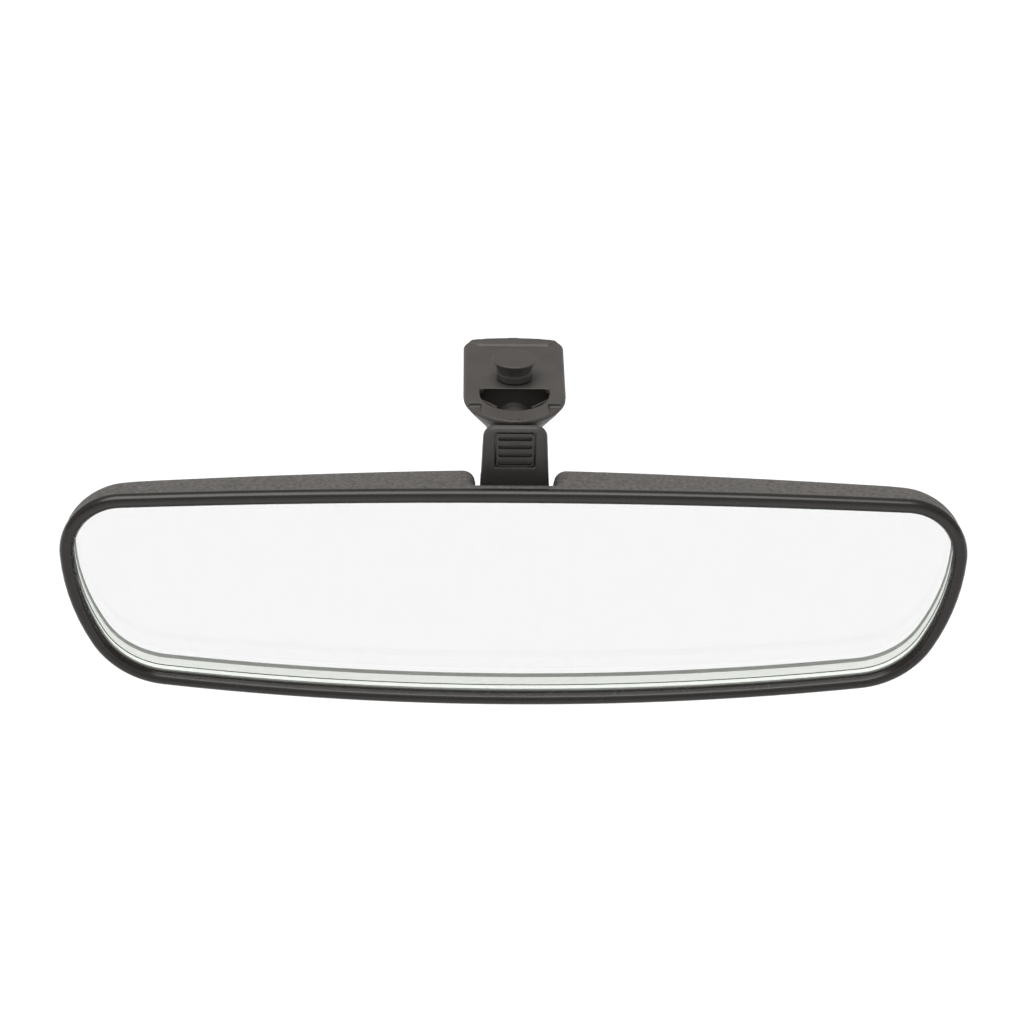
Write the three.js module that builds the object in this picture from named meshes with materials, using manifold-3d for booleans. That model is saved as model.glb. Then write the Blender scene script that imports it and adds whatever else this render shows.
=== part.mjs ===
// Interior rearview mirror: a prismatic day/night mirror head on a ball joint under a roof foot.
// Millimetres, +Z up, -Y towards the driver. The origin is on the axis of the mounting stud,
// in the plane of the foot's seat face.
import * as THREE from "three";
import { mergeVertices } from "three/addons/utils/BufferGeometryUtils.js";
import Module from "manifold-3d";

const wasm = await Module();
wasm.setup();

// ---------------------------------------------------------------- driving dimensions
const GAP = 0.3; // clearance kept between neighbouring pieces
const SEGMENTS = 28; // sides of a round piece

// Mirror head. The outline is a chain of tangent arcs from top centre to bottom centre.
const HEAD_WIDTH = 240;
const HEAD_ARCS = [
  { radius: 2412, turn: 2.46, steps: 3 }, // top edge, almost straight
  { radius: 17.2, turn: 89.8, steps: 9 }, // upper corner
  { radius: 60.2, turn: 26.4, steps: 4 }, // end, leaning inwards
  { radius: 24.8, turn: 54.4, steps: 6 }, // lower corner
];
const BOTTOM_STEPS = 5; // the bottom edge closes the chain
const HEAD_FRONT_Y = -42; // front plane of the bezel
const HEAD_TOP_Z = -13.2; // top of the bezel at the middle
const BEZEL_FACE = 3.5; // width of the bezel's rounded face
const BEZEL_DEPTH = 2.8; // from its front to the housing's rim
const GLASS_INSET = 3.4; // from the head's outline to the glass edge
const GLASS_FRONT = 2.3; // glass surface behind the bezel's front
const GLASS_TOP_THICK = 2.2; // a prismatic glass is a wedge
const GLASS_BOTTOM_THICK = 5.7;
const COATING_THICK = 0.5;
const PAD_THICK = 1.0;
const HOUSING_DEPTH = 29.5; // from the bezel's front to the deepest point of the back
const HOUSING_WALL = 1.6;
const END_TAPER = 0.42; // share of the depth that the housing loses at its ends
const NOTCH_HALF = 10.4; // the neck's way in, through the top of the housing
const NOTCH_FLOOR_Z = -30;
const NOTCH_FRONT = 5.9; // behind the bezel's front
const NOTCH_FLARE = 3.4;

// Ball joint between the foot and the neck.
const BALL = new THREE.Vector3(0, -22, -11);
const BALL_R = 5;
const SEAT_IN = BALL_R + GAP;
const SEAT_OUT = 6.1;
const SOCKET_R = SEAT_OUT + GAP;
const STEM_R = 2.6;
const STEM_TILT = 5; // degrees above the horizontal, towards the back
const SOCKET_MOUTH = 55; // half angle of the socket's opening round the stem
const SWING_R = 8.7; // the neck's upper end stays in this sphere round the ball
const SCOOP_R = SWING_R + 0.5; // hollow under the foot that the neck swings in

// Foot.
const FOOT_REAR_Y = 24.5;
const FOOT_WALL = 1.5;
const LIP_FRONT_Y = 21;
const LIP_HALF = 9.5;
const WINDOW_HALF = 9.3;
const WINDOW_REAR_Y = -6.4;
const WINDOW_FRONT_Y = -19.9;
const STUD_HEAD_R = 6.15;
const STUD_NECK_R = 4.6;
const STUD_HEIGHT = 6;
const SHANK_R = 3.4;
const SHANK_LENGTH = 2.6;

// Neck, measured from the ball's centre.
const NECK_FRONT = -9.2;
const NECK_REAR = 8;
const SHIELD_THICK = 2; // the neck's upper end stands in front of the foot's plate
const NECK_TOP = 11.3;
const NECK_TOP_HALF = 8.5;
const NECK_LOW_HALF = 9.4;
const NECK_BOTTOM = -12.5;
const TONGUE_WIDE = 9.9;
const TONGUE_TALL = 9.5;
const TONGUE_THICK = 1.5;
const SLOT_DEPTH = 1.05;
const TONGUE_LOW = 0; // lower edge of the tongue, its living hinge
const TONGUE_SLOTS = 4;
const SLOT_PITCH = 2.4;

// Day/night flip: the head turns on a pin in the neck, and a lever's crank drives it.
const PIN_Y = -25.1;
const PIN_Z = -26.5;
const PIN_R = 1.6;
const LEVER_Z = -70.7;
const LEVER_SWING = 40;
const FLIP = 4;
const LEVER_PIN_R = 1.2;
const CRANK_PIN_R = 1.4;
const TAB_REACH = 11.5;
const TAIL_HALF = 5;

const rad = THREE.MathUtils.degToRad;

// ---------------------------------------------------------------- solids and booleans
function solid(geometry) {
  const bare = geometry.index ? geometry.toNonIndexed() : geometry.clone();
  bare.deleteAttribute("normal");
  bare.deleteAttribute("uv");
  const merged = mergeVertices(bare, 1e-4);
  const index = merged.index.array;
  const kept = [];
  for (let i = 0; i < index.length; i += 3) {
    const [a, b, c] = index.slice(i, i + 3);
    if (a !== b && b !== c && a !== c) kept.push(a, b, c);
  }
  const mesh = new wasm.Mesh({
    numProp: 3,
    vertProperties: merged.attributes.position.array,
    triVerts: new Uint32Array(kept),
  });
  return new wasm.Manifold(mesh);
}

function geometryOf(body) {
  const mesh = body.getMesh();
  const geometry = new THREE.BufferGeometry();
  geometry.setAttribute("position", new THREE.BufferAttribute(mesh.vertProperties, 3));
  geometry.setIndex(new THREE.BufferAttribute(mesh.triVerts, 1));
  return geometry;
}

// One geometry joined with those in add and cut by those in cut.
function carve(base, { add = [], cut = [], keep = [] }) {
  let body = solid(base);
  for (const other of keep) body = body.intersect(solid(other));
  for (const other of add) body = body.add(solid(other));
  for (const other of cut) body = body.subtract(solid(other));
  return geometryOf(body);
}

// ---------------------------------------------------------------- shapes
function box(x0, x1, y0, y1, z0, z1) {
  const made = new THREE.BoxGeometry(x1 - x0, y1 - y0, z1 - z0);
  return made.translate((x0 + x1) / 2, (y0 + y1) / 2, (z0 + z1) / 2);
}

function ball(radius, centre = new THREE.Vector3()) {
  return new THREE.SphereGeometry(radius, SEGMENTS, SEGMENTS / 2).translate(...centre);
}

// A solid turned from a profile of [radius, height] points, its axis from base along direction.
function turned(profile, base, direction, segments = SEGMENTS) {
  const points = profile.map(([r, h]) => new THREE.Vector2(r, h));
  const made = new THREE.LatheGeometry(points, segments);
  const up = new THREE.Vector3(0, 1, 0);
  made.applyQuaternion(new THREE.Quaternion().setFromUnitVectors(up, direction));
  return made.translate(...base);
}

function rod(radius, from, to, segments = SEGMENTS) {
  const span = to.clone().sub(from);
  const profile = [[0, 0], [radius, 0], [radius, span.length()], [0, span.length()]];
  return turned(profile, from, span.normalize(), segments);
}

function rodX(radius, x0, x1, y, z, segments = 20) {
  return rod(radius, new THREE.Vector3(x0, y, z), new THREE.Vector3(x1, y, z), segments);
}

// A shape drawn in X and Z, extruded from yFront back to yBack, with rounded edges.
function panel(shape, yFront, yBack, round = 0) {
  const made = new THREE.ExtrudeGeometry(shape, {
    depth: yBack - yFront - 2 * round,
    bevelEnabled: round > 0,
    bevelSize: round,
    bevelThickness: round,
    bevelOffset: -round,
    bevelSegments: 2,
    curveSegments: 6,
  });
  return made.rotateX(Math.PI / 2).translate(0, yBack - round, 0);
}

// A shape drawn in X and Y, extruded from z0 up to z1.
function slab(shape, z0, z1) {
  const settings = { depth: z1 - z0, bevelEnabled: false, curveSegments: 10 };
  return new THREE.ExtrudeGeometry(shape, settings).translate(0, 0, z0);
}

function roundedRect(halfWidth, y0, y1, r) {
  const shape = new THREE.Shape();
  shape.moveTo(-halfWidth + r, y0);
  shape.lineTo(halfWidth - r, y0);
  shape.absarc(halfWidth - r, y0 + r, r, -Math.PI / 2, 0);
  shape.absarc(halfWidth - r, y1 - r, r, 0, Math.PI / 2);
  shape.absarc(-halfWidth + r, y1 - r, r, Math.PI / 2, Math.PI);
  shape.absarc(-halfWidth + r, y0 + r, r, Math.PI, 1.5 * Math.PI);
  return shape;
}

// Rings of equal length joined into one closed skin that faces outwards: looped into a tube
// if ends is null, or closed by a fan to a point at each end.
function skin(rings, ends = null) {
  const count = rings[0].length;
  const points = rings.flat();
  const faces = [];
  const rows = ends ? rings.length - 1 : rings.length;
  for (let i = 0; i < rows; i++) {
    const next = (i + 1) % rings.length;
    for (let j = 0; j < count; j++) {
      const k = (j + 1) % count;
      const [a, b] = [i * count + j, i * count + k];
      const [c, d] = [next * count + k, next * count + j];
      faces.push(a, b, c, a, c, d);
    }
  }
  if (ends) {
    const first = points.push(ends[0]) - 1;
    const last = points.push(ends[1]) - 1;
    const top = (rings.length - 1) * count;
    for (let j = 0; j < count; j++) {
      const k = (j + 1) % count;
      faces.push(first, k, j, last, top + j, top + k);
    }
  }
  const geometry = new THREE.BufferGeometry().setFromPoints(points);
  geometry.setIndex(signedVolume(points, faces) < 0 ? faces.reverse() : faces);
  return geometry;
}

// Six times the volume inside a closed skin: negative if its faces look inwards.
function signedVolume(points, faces) {
  let sum = 0;
  for (let i = 0; i < faces.length; i += 3) {
    const [a, b, c] = faces.slice(i, i + 3).map((k) => points[k]);
    sum += a.dot(b.clone().cross(c));
  }
  return sum;
}

// ---------------------------------------------------------------- the head's outline
const arcTurns = HEAD_ARCS.reduce((sum, arc) => sum + arc.turn, 0);

// Right half of the outline, inset evenly all round: a chain of arcs keeps its centres and
// turns when it is inset, and only its radii shrink.
function halfOutline(arcs, topZ, inset) {
  let at = new THREE.Vector2(0, topZ - inset);
  let heading = 0;
  const points = [at.clone()];
  for (const { radius, turn, steps } of arcs) {
    const r = radius - inset;
    const start = at.clone();
    for (let i = 1; i <= steps; i++) {
      const angle = heading + (rad(turn) * i) / steps;
      const x = start.x + r * (Math.sin(angle) - Math.sin(heading));
      const z = start.y - r * (Math.cos(heading) - Math.cos(angle));
      at = new THREE.Vector2(x, z);
      points.push(at.clone());
    }
    heading += rad(turn);
  }
  return points;
}

// The chain scaled to the head's width, with the bottom arc that closes it.
function headArcs() {
  const raw = halfOutline(HEAD_ARCS, 0, 0);
  const scale = HEAD_WIDTH / 2 / Math.max(...raw.map((p) => p.x));
  const bottomTurn = 180 - arcTurns;
  const bottomRadius = raw[raw.length - 1].x / Math.sin(rad(bottomTurn));
  const chain = [...HEAD_ARCS, { radius: bottomRadius, turn: bottomTurn, steps: BOTTOM_STEPS }];
  return chain.map((arc) => ({ ...arc, radius: arc.radius * scale }));
}
const ARCS = headArcs();

// The whole outline as points [x, z], clockwise from the top centre.
function outline(inset) {
  const right = halfOutline(ARCS, HEAD_TOP_Z, inset);
  right[right.length - 1].x = 0;
  const left = right.slice(1, -1).reverse();
  return [...right, ...left.map((p) => new THREE.Vector2(-p.x, p.y))];
}
const HEAD_BOTTOM_Z = Math.min(...outline(0).map((p) => p.y));
const HEAD_MID_Z = (HEAD_TOP_Z + HEAD_BOTTOM_Z) / 2;

// A ring of 3-D points: the outline inset, at a depth behind the bezel's front that may
// depend on the place.
function ring(inset, depth) {
  const depthAt = typeof depth === "function" ? depth : () => depth;
  return outline(inset).map((p) => new THREE.Vector3(p.x, HEAD_FRONT_Y + depthAt(p.x, p.y), p.y));
}

function headPoint(depth) {
  return new THREE.Vector3(0, HEAD_FRONT_Y + depth, HEAD_MID_Z);
}

// ---------------------------------------------------------------- the head's pieces
// Depth of the glass's silvered back: the wedge thickens from the top edge to the bottom edge.
const glassTop = HEAD_TOP_Z - GLASS_INSET;
const glassBottom = HEAD_BOTTOM_Z + GLASS_INSET;
function glassBack(x, z) {
  const share = (glassTop - z) / (glassTop - glassBottom);
  return GLASS_FRONT + GLASS_TOP_THICK + share * (GLASS_BOTTOM_THICK - GLASS_TOP_THICK);
}

function bezelFrame() {
  const skirtIn = GLASS_INSET - GAP;
  const skirtOut = skirtIn - 0.6;
  const profile = [
    [0.15, BEZEL_DEPTH], [0, 1.9], [0.25, 1], [0.8, 0.3], [1.5, 0], [2.1, 0.06], [2.7, 0.35],
    [3.1, 0.8], [3.4, 1.4], [BEZEL_FACE, GLASS_FRONT - GAP],
    [skirtIn, GLASS_FRONT - GAP], [skirtIn, BEZEL_DEPTH + 5],
    [skirtOut, BEZEL_DEPTH + 5], [skirtOut, BEZEL_DEPTH],
  ];
  return skin(profile.map(([inset, depth]) => ring(inset, depth)));
}

// A sheet that follows the silvered back of the glass, from one distance behind it to another.
function sheetBehindGlass(inset, from, to) {
  const front = (x, z) => glassBack(x, z) + from;
  const back = (x, z) => glassBack(x, z) + to;
  const ends = [headPoint(front(0, HEAD_MID_Z)), headPoint(back(0, HEAD_MID_Z))];
  return skin([ring(inset, front), ring(inset, back)], ends);
}

function mirrorGlass() {
  const ends = [headPoint(GLASS_FRONT), headPoint(glassBack(0, HEAD_MID_Z))];
  return skin([ring(GLASS_INSET, GLASS_FRONT), ring(GLASS_INSET, glassBack)], ends);
}

// The housing's back: rings inset further and further, then a shallow dome over the middle.
const HOUSING_RIM = BEZEL_DEPTH + GAP;
const BACK_CURVE = [
  [0.5, 0], [0.6, 0.29], [1.6, 0.49], [4.4, 0.66], [8.6, 0.8], [13, 0.88],
];
const DOME = [0.66, 0.33]; // the last ring repeated at these sizes

function shellRings(wall) {
  const tapered = (share) => (x) => {
    const taper = 1 - END_TAPER * (Math.hypot(2 * x / HEAD_WIDTH, 0.15) - 0.15);
    const reach = (HOUSING_DEPTH - wall - HOUSING_RIM) * share * taper;
    return HOUSING_RIM + reach;
  };
  const rings = BACK_CURVE.map(([inset, share]) => ring(Math.min(inset + wall, 15), tapered(share)));
  const last = rings[rings.length - 1];
  const lastShare = BACK_CURVE[BACK_CURVE.length - 1][1];
  for (const size of DOME) {
    const share = lastShare + (1 - lastShare) * (1 - size * size);
    rings.push(last.map((p) => {
      const x = p.x * size;
      const z = HEAD_MID_Z + (p.z - HEAD_MID_Z) * size;
      return new THREE.Vector3(x, HEAD_FRONT_Y + tapered(share)(x), z);
    }));
  }
  return rings;
}

// The notch for the neck, its sides flaring out where they meet the housing's top.
function notchShape() {
  const top = HEAD_TOP_Z - 1.5;
  const wide = NOTCH_HALF + NOTCH_FLARE;
  const corner = 3;
  const shape = new THREE.Shape();
  shape.moveTo(-wide, top + 8);
  shape.lineTo(-wide, top);
  shape.absarc(-wide, top - NOTCH_FLARE, NOTCH_FLARE, Math.PI / 2, 0, true);
  shape.absarc(-NOTCH_HALF + corner, NOTCH_FLOOR_Z + corner, corner, Math.PI, 1.5 * Math.PI);
  shape.absarc(NOTCH_HALF - corner, NOTCH_FLOOR_Z + corner, corner, -Math.PI / 2, 0);
  shape.absarc(wide, top - NOTCH_FLARE, NOTCH_FLARE, Math.PI, Math.PI / 2, true);
  shape.lineTo(wide, top + 8);
  return shape;
}

function housing() {
  const outer = shellRings(0);
  const inner = shellRings(HOUSING_WALL);
  const ends = [headPoint(HOUSING_DEPTH), headPoint(HOUSING_DEPTH - HOUSING_WALL)];
  const shell = skin([...outer.reverse(), ...inner], ends);
  const backY = HEAD_FRONT_Y + HOUSING_DEPTH;
  const ears = [-1, 1].map((side) => {
    const [x0, x1] = side > 0 ? [6.6, 8.8] : [-8.8, -6.6];
    return box(x0, x1, PIN_Y - 3, PIN_Y + 4, HEAD_BOTTOM_Z + 1.6, LEVER_Z + 3);
  });
  const bosses = SCREWS.map(([x, z]) => (
    rod(3, new THREE.Vector3(x, BRACKET_BACK + GAP, z), new THREE.Vector3(x, backY - 1, z), 12)
  ));
  const holes = SCREWS.map(([x, z]) => (
    rod(1.35, new THREE.Vector3(x, BRACKET_BACK, z), new THREE.Vector3(x, BRACKET_BACK + 3.2, z), 12)
  ));
  return carve(shell, {
    add: [...ears, ...bosses],
    cut: [
      panel(notchShape(), HEAD_FRONT_Y + NOTCH_FRONT, backY + 5),
      box(-6.3, 6.3, LEVER_Y - 4.6, LEVER_Y + 4.6, HEAD_BOTTOM_Z - 5, LEVER_Z + 4),
      rodX(LEVER_PIN_R + GAP, -9.5, 9.5, LEVER_Y, LEVER_Z, 12),
      ...holes,
    ],
  });
}

// ---------------------------------------------------------------- day/night mechanism
// The crank's radius comes from the flip: over the lever's swing it moves the tail's end by
// just as much as the flip does.
const crankShare = Math.tan(rad(FLIP)) / (2 * Math.sin(rad(LEVER_SWING / 2)));
const CRANK_R = ((PIN_Z - LEVER_Z) * crankShare) / (1 + crankShare);
const half = rad(LEVER_SWING / 2);
const CRANK_Y = PIN_Y;
const LEVER_Y = CRANK_Y + CRANK_R * Math.sin(half);
const CRANK_Z = LEVER_Z + CRANK_R * Math.cos(half);

const BRACKET_FRONT = -19.1; // the bracket's plate lies against the housing's bosses
const BRACKET_BACK = -17.5;
const BRACKET_HALF = 17;
const EAR_IN = 9.8;
const EAR_OUT = 11.6;
const SCREWS = [[-13.5, -38], [13.5, -38], [-13.5, -52], [13.5, -52]];

function pinBracket() {
  const plate = roundedRect(BRACKET_HALF, -56, -33, 3);
  const ears = [-1, 1].flatMap((side) => {
    const [x0, x1] = side > 0 ? [EAR_IN, EAR_OUT] : [-EAR_OUT, -EAR_IN];
    return [
      box(x0, x1, PIN_Y - 3.2, PIN_Y + 3.2, -35, PIN_Z + 3.2),
      box(x0, x1, PIN_Y + 2, BRACKET_FRONT + 1, -35, PIN_Z - 2.5),
    ];
  });
  const holes = SCREWS.map(([x, z]) => (
    rod(1.6, new THREE.Vector3(x, BRACKET_FRONT - 1, z), new THREE.Vector3(x, BRACKET_BACK + 1, z), 12)
  ));
  return carve(panel(plate, BRACKET_FRONT, BRACKET_BACK), {
    add: ears,
    cut: [...holes, rodX(PIN_R + GAP, -13, 13, PIN_Y, PIN_Z, 16)],
  });
}

function bracketScrew([x, z]) {
  const profile = [[0, 0], [1.05, 0], [1.05, 4.2], [2.6, 4.2], [2.6, 5.4], [1.9, 5.9], [0, 5.9]];
  const base = new THREE.Vector3(x, BRACKET_FRONT - GAP + 4.2, z);
  return turned(profile, base, new THREE.Vector3(0, -1, 0), 12);
}

function hingePin() {
  const shank = rodX(PIN_R, -EAR_OUT - 0.6, EAR_OUT + 0.6, PIN_Y, PIN_Z, 16);
  const head = rodX(PIN_R + 1, EAR_OUT + GAP, EAR_OUT + 1.5, PIN_Y, PIN_Z, 16);
  return carve(shank, { add: [head] });
}

function dayNightLever() {
  const hub = rodX(2.9, -5.8, 5.8, LEVER_Y, LEVER_Z, 16);
  const crank = rodX(CRANK_PIN_R, -3.9, 3.9, CRANK_Y, CRANK_Z, 14);
  const web = box(-3.9, 3.9, -0.8, 0.8, 0, CRANK_R);
  const tab = box(-5.8, 5.8, -1.1, 1.1, -TAB_REACH, 0);
  const grips = [0, 1, 2].map((i) => (
    rodX(0.6, -5, 5, -1.1, -TAB_REACH + 1.2 + 1.6 * i, 10)
  ));
  const leaning = [web, tab, ...grips].map((piece) => (
    piece.rotateX(half).translate(0, LEVER_Y, LEVER_Z)
  ));
  const bore = rodX(LEVER_PIN_R + GAP, -7, 7, LEVER_Y, LEVER_Z, 12);
  return carve(hub, { add: [crank, ...leaning], cut: [bore] });
}

// ---------------------------------------------------------------- neck
const NECK_REAR_SLIMMER = 1.1; // the neck is this much narrower on each side behind its front
const NECK_AT = (y, z) => [BALL.y + y, BALL.z + z];
const STEM = new THREE.Vector3(0, Math.cos(rad(STEM_TILT)), Math.sin(rad(STEM_TILT)));

// The neck's outline from the front, wider towards the bottom, with rounded upper corners.
function neckOutline(slimmer) {
  const [, top] = NECK_AT(0, NECK_TOP);
  const [, low] = NECK_AT(0, NECK_BOTTOM);
  const topHalf = NECK_TOP_HALF - slimmer;
  const lowHalf = NECK_LOW_HALF - slimmer;
  const r = 3.3;
  const shape = new THREE.Shape();
  shape.moveTo(-lowHalf, low);
  shape.lineTo(lowHalf, low);
  shape.lineTo(topHalf, top - r);
  shape.absarc(topHalf - r, top - r, r, 0, Math.PI / 2);
  shape.absarc(-topHalf + r, top - r, r, Math.PI / 2, Math.PI);
  return shape;
}

// A cone with its point at the ball's centre, opening round the stem.
function coneRoundStem(halfAngle, reach) {
  return turned([[0, 0], [reach * Math.tan(rad(halfAngle)), reach], [0, reach]], BALL, STEM);
}

function neckBody() {
  const [yFront] = NECK_AT(NECK_FRONT, 0);
  const [yRear, zLow] = NECK_AT(NECK_REAR, NECK_BOTTOM);
  const block = solid(panel(neckOutline(0), yFront, yFront + 6, 1.2))
    .add(solid(panel(neckOutline(NECK_REAR_SLIMMER), yFront + 3, yRear, 1.2)));
  const room = solid(ball(SWING_R, BALL))
    .add(solid(box(-20, 20, yFront - 1, yRear + 1, zLow - 5, BALL.z - 4)))
    .add(solid(box(-20, 20, yFront - 1, yFront + SHIELD_THICK, zLow, BALL.z + 20)));
  return block
    .intersect(room)
    .subtract(solid(ball(SOCKET_R, BALL)))
    .subtract(solid(coneRoundStem(SOCKET_MOUTH, 16)));
}

const SPLIT_GAP = GAP / 2;
const CLAMP_LOW = BALL.z - 10.5;
const CLAMP_SCREWS = [-5.2, 5.2];
const CLAMP_SCREW_Z = BALL.z - 7.9;

// The part of the neck behind the ball's middle is a clamp held by two screws.
function clampRoom(grow) {
  return box(-12, 12, BALL.y - grow, 12, CLAMP_LOW - grow, 5);
}

function clampScrew(x) {
  const profile = [[0, 0], [0.95, 0], [0.95, 9.4], [2.1, 9.4], [2.1, 10.8], [0, 10.8]];
  const rear = BALL.y + NECK_REAR;
  const tip = new THREE.Vector3(x, rear - 10.6, CLAMP_SCREW_Z);
  return turned(profile, tip, new THREE.Vector3(0, 1, 0), 12);
}

function clampScrewHoles() {
  const rear = BALL.y + NECK_REAR;
  return CLAMP_SCREWS.flatMap((x) => {
    const at = (y) => new THREE.Vector3(x, y, CLAMP_SCREW_Z);
    return [
      rod(0.95 + GAP, at(rear - 11), at(rear + 1), 12),
      rod(2.1 + GAP, at(rear - 1.5), at(rear + 1), 12),
    ];
  });
}

function neckShell() {
  const [yFront] = NECK_AT(NECK_FRONT, 0);
  const zTongue = BALL.z + TONGUE_LOW;
  const pocketHalf = TONGUE_WIDE / 2 + GAP + 0.05;
  const pocket = box(
    -pocketHalf, pocketHalf, yFront - 2, yFront + 2.4, zTongue - GAP, zTongue + TONGUE_TALL + GAP,
  );
  let body = neckBody().subtract(solid(clampRoom(SPLIT_GAP)));
  for (const piece of [pocket, ...clampScrewHoles()]) body = body.subtract(solid(piece));
  for (const piece of tailPieces()) body = body.add(solid(piece));
  return geometryOf(body.subtract(solid(rodX(PIN_R + GAP, -13, 13, PIN_Y, PIN_Z, 16))));
}

// Below the ball the neck runs on as a tail to the hinge pin, and down to a fork for the crank.
function tailPieces() {
  const [, zLow] = NECK_AT(0, NECK_BOTTOM);
  const forkIn = CRANK_PIN_R + GAP + 0.25;
  const forkOut = forkIn + 1.3;
  const prong = (y0, y1) => (
    box(-TAIL_HALF, TAIL_HALF, CRANK_Y + y0, CRANK_Y + y1, CRANK_Z - 0.4, CRANK_Z + 5)
  );
  return [
    rodX(4, -9.4, 9.4, PIN_Y, PIN_Z, 20),
    box(-9.4, 9.4, PIN_Y - 3.2, PIN_Y + 3.2, PIN_Z, zLow + 1),
    box(-TAIL_HALF, TAIL_HALF, PIN_Y - 1.6, PIN_Y + 1.6, CRANK_Z + 3, PIN_Z),
    box(-1, 1, PIN_Y, PIN_Y + 3.4, CRANK_Z + 8, PIN_Z),
    box(-TAIL_HALF, TAIL_HALF, CRANK_Y - forkOut, CRANK_Y + forkOut, CRANK_Z + 2.6, CRANK_Z + 5),
    prong(-forkOut, -forkIn),
    prong(forkIn, forkOut),
  ];
}

function socketClamp() {
  let body = neckBody().intersect(solid(clampRoom(-SPLIT_GAP)));
  for (const hole of clampScrewHoles()) body = body.subtract(solid(hole));
  return geometryOf(body);
}

// The release tongue: a ribbed thumb pad, cut free on three sides and hinged at its lower edge.
function releaseTongue() {
  const [yFront] = NECK_AT(NECK_FRONT, 0);
  const z0 = BALL.z + TONGUE_LOW;
  const plate = roundedRect(TONGUE_WIDE / 2, z0, z0 + TONGUE_TALL, 0.6);
  const slots = Array.from({ length: TONGUE_SLOTS }, (_, i) => {
    const z = z0 + TONGUE_TALL - 1.5 - SLOT_PITCH * i;
    const slot = roundedRect(TONGUE_WIDE / 2 - 0.5, z - 0.6, z + 0.6, 0.59);
    return panel(slot, yFront - 1, yFront + SLOT_DEPTH);
  });
  return carve(panel(plate, yFront, yFront + TONGUE_THICK), { cut: slots });
}

// ---------------------------------------------------------------- ball joint
// Part of a spherical shell round the ball, between two angles from the socket's deep end.
function seat(from, to) {
  const steps = Math.ceil((to - from) / 12);
  const arc = (radius, a0, a1) => Array.from({ length: steps + 1 }, (_, i) => {
    const angle = rad(a0 + ((a1 - a0) * i) / steps);
    return [radius * Math.sin(angle), -radius * Math.cos(angle)];
  });
  const profile = [...arc(SEAT_OUT, from, to), ...arc(SEAT_IN, to, from)];
  if (from > 0) profile.push(profile[0]);
  return turned(profile, BALL, STEM);
}

const STUD_END = 21; // along the stem from the ball's centre
const SCREW_HEAD_AT = 22.5;

function along(distance) {
  return BALL.clone().addScaledVector(STEM, distance);
}

function ballStud() {
  const stem = rod(STEM_R, along(0), along(STUD_END - 3), 20);
  const flange = turned([[0, 0], [3.6, 0.9], [3.6, 1.8], [0, 1.8]], along(8.3), STEM, 20);
  const bore = rod(1.3, along(STUD_END - 9), along(STUD_END), 12);
  return carve(ball(BALL_R, BALL), { add: [stem, flange], cut: [bore] });
}

function studScrew() {
  const profile = [[0, 0], [1, 0], [1, 9.2], [3.4, 9.2], [3.4, 10.6], [2.4, 11.4], [0, 11.4]];
  return turned(profile, along(SCREW_HEAD_AT - 9.2), STEM, 16);
}

function studWasher() {
  const at = along(SCREW_HEAD_AT - GAP - 0.8);
  return turned([[1.3, 0], [3.9, 0], [3.9, 0.8], [1.3, 0.8], [1.3, 0]], at, STEM, 20);
}

// ---------------------------------------------------------------- foot
// Levels of the foot from its seat face down: [z, half width, front y, rear y, rear corners].
const FOOT_LEVELS = [
  [0, 12.9, -26.5, FOOT_REAR_Y - 0.3, 2.6],
  [-0.9, 13.8, -26.7, FOOT_REAR_Y, 3],
  [-1.5, 13.5, -25.9, FOOT_REAR_Y - 0.1, 3.4],
  [-3, 12.6, -24.9, FOOT_REAR_Y - 0.6, 4],
  [-6, 10.9, -21.6, 21.8, 5],
  [-9, 9, -18, 19, 5],
  [-12, 7.8, -14, 16, 5],
  [-15.5, 5.5, -10, 10, 4],
];
const EDGE_THICK = 0.5; // the plate along the window's rear edge
const FRONT_REACH = 16.2; // length of the round front, half an ellipse

// One level's outline: small corners at the back and a round front.
function footRing([z, halfWidth, front, rear, corner]) {
  const reach = Math.min(FRONT_REACH, (rear - front) * 0.4);
  const points = [];
  const bend = (cx, cy, rx, ry, from, steps) => {
    for (let i = 0; i <= steps; i++) {
      const angle = rad(from + (90 * i) / steps);
      points.push(new THREE.Vector3(cx + rx * Math.cos(angle), cy + ry * Math.sin(angle), z));
    }
  };
  bend(halfWidth - corner, rear - corner, corner, corner, 0, 4);
  bend(-halfWidth + corner, rear - corner, corner, corner, 90, 4);
  bend(0, front + reach, halfWidth, reach, 180, 14);
  const centre = points.length;
  bend(0, front + reach, halfWidth, reach, 270, 14);
  points.splice(centre, 1);
  return points;
}

function windowShape() {
  const shape = new THREE.Shape();
  const straight = 3.2;
  const reach = WINDOW_REAR_Y - straight - WINDOW_FRONT_Y;
  shape.moveTo(WINDOW_HALF, WINDOW_REAR_Y);
  shape.lineTo(-WINDOW_HALF, WINDOW_REAR_Y);
  shape.absellipse(0, WINDOW_REAR_Y - straight, WINDOW_HALF, reach, Math.PI, 2 * Math.PI);
  return shape;
}

function dome() {
  return ball(SCOOP_R + 0.9, BALL);
}

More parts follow.
